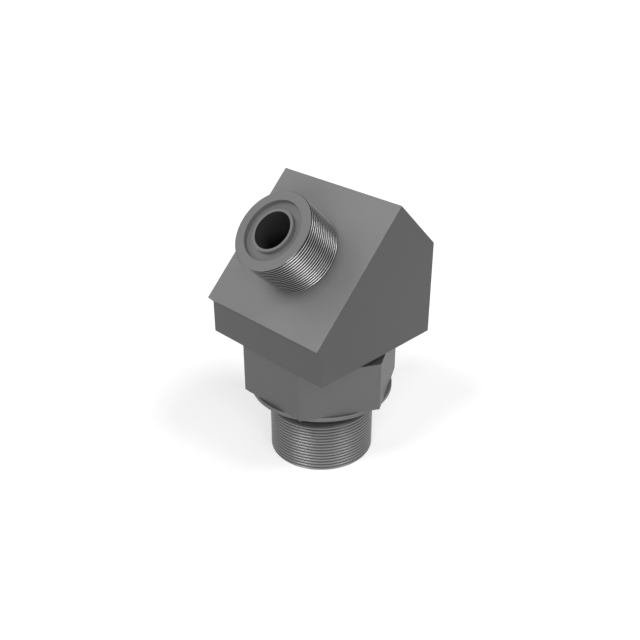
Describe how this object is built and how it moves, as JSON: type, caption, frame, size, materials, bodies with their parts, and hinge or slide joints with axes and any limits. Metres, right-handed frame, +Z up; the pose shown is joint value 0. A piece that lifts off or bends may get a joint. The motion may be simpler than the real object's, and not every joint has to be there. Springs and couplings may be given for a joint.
{
  "type": "elbow adapter",
  "caption": "Square-bar elbow adapter with a male face-seal end turned 45 degrees from an adjustable male stud end with locknut and washer.",
  "frame": {"origin": "centre of the stud's flat end face", "axes": "+Z up the stud's axis from its free end to the block; the face-seal end leans from +Z towards -X; Y is across the block, and XZ is its mirror plane"},
  "size_m": [0.042, 0.0404, 0.0729],
  "materials": {
    "body_steel": "satin, machined from bar and phosphated dark grey",
    "nut_steel": "satin, phosphated dark grey",
    "washer_steel": "satin, stamped and phosphated dark grey",
    "seal_rubber": "matte moulded nitrile rubber"
  },
  "bodies": {
    "body": {"elbow_body": "body_steel"},
    "seal_ring": {"stud_seal_ring": "seal_rubber"},
    "washer": {"backup_washer": "washer_steel"},
    "nut": {"locknut": "nut_steel"}
  },
  "joints": [
    {"name": "washer_travel", "type": "slide", "parent": "body", "child": "seal_ring", "axis": [0, 0, 1], "range_m": [-0.0014, 0.0014]},
    {"name": "washer_spin", "type": "hinge", "parent": "seal_ring", "child": "washer", "pos_m": [0, 0, 0.01895], "axis": [0, 0, 1], "continuous": true},
    {"name": "locknut_turn", "type": "hinge", "parent": "seal_ring", "child": "nut", "pos_m": [0, 0, 0.02595], "axis": [0, 0, 1], "range_deg": [-540, 540]}
  ],
  "couplings": [
    {"joint": "washer_travel", "follows": "locknut_turn", "m_per_rad": 0.00014324}
  ]
}
